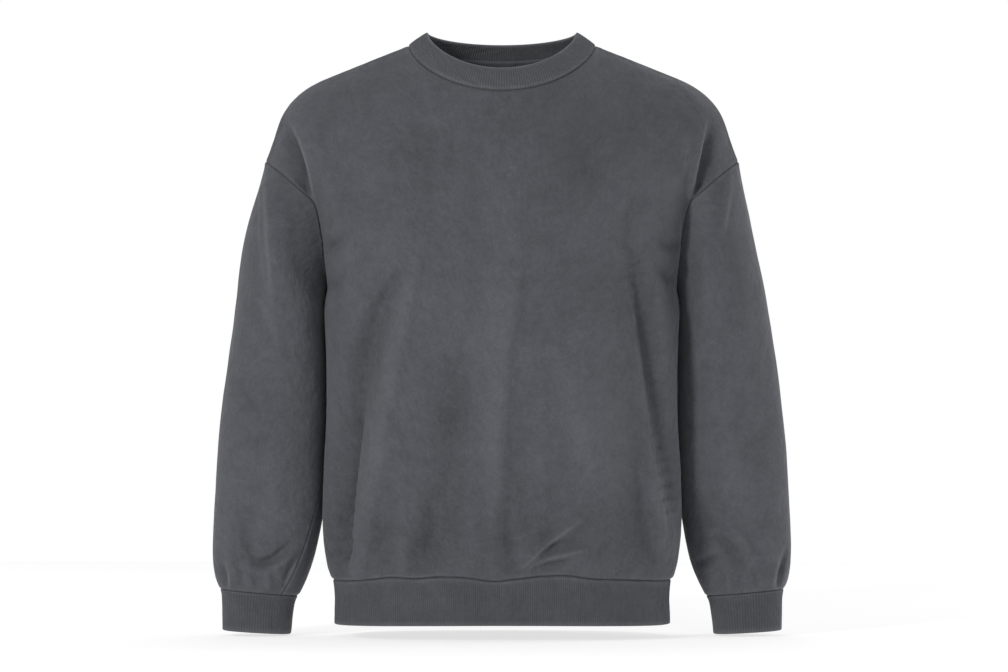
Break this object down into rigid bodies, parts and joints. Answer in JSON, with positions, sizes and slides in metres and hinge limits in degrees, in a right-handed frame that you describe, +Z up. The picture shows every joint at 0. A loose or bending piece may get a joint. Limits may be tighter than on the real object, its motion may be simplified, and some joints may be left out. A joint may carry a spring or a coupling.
{
  "type": "crewneck sweatshirt",
  "caption": "Oversized crewneck sweatshirt with dropped shoulders, long sleeves and ribbed neckband, cuffs and hem, held open in its worn shape.",
  "frame": {"origin": "middle of the neck, level with the tops of the shoulder seams, where the wearer's shoulders hold the garment", "axes": "+Z up along the neck, the front faces -Y, +X towards the wearer's left sleeve"},
  "size_m": [0.6658, 0.25, 0.6906],
  "materials": {
    "jersey": "garment-dyed charcoal cotton jersey, brushed inside, matte",
    "rib": "garment-dyed charcoal cotton rib knit, matte"
  },
  "bodies": {
    "root": {"body_front": "jersey", "body_back": "jersey", "sleeve_left": "jersey", "sleeve_right": "jersey", "collar_rib": "rib", "cuff_left": "rib", "cuff_right": "rib", "hem_rib_front": "rib", "hem_rib_back": "rib"}
  },
  "joints": []
}
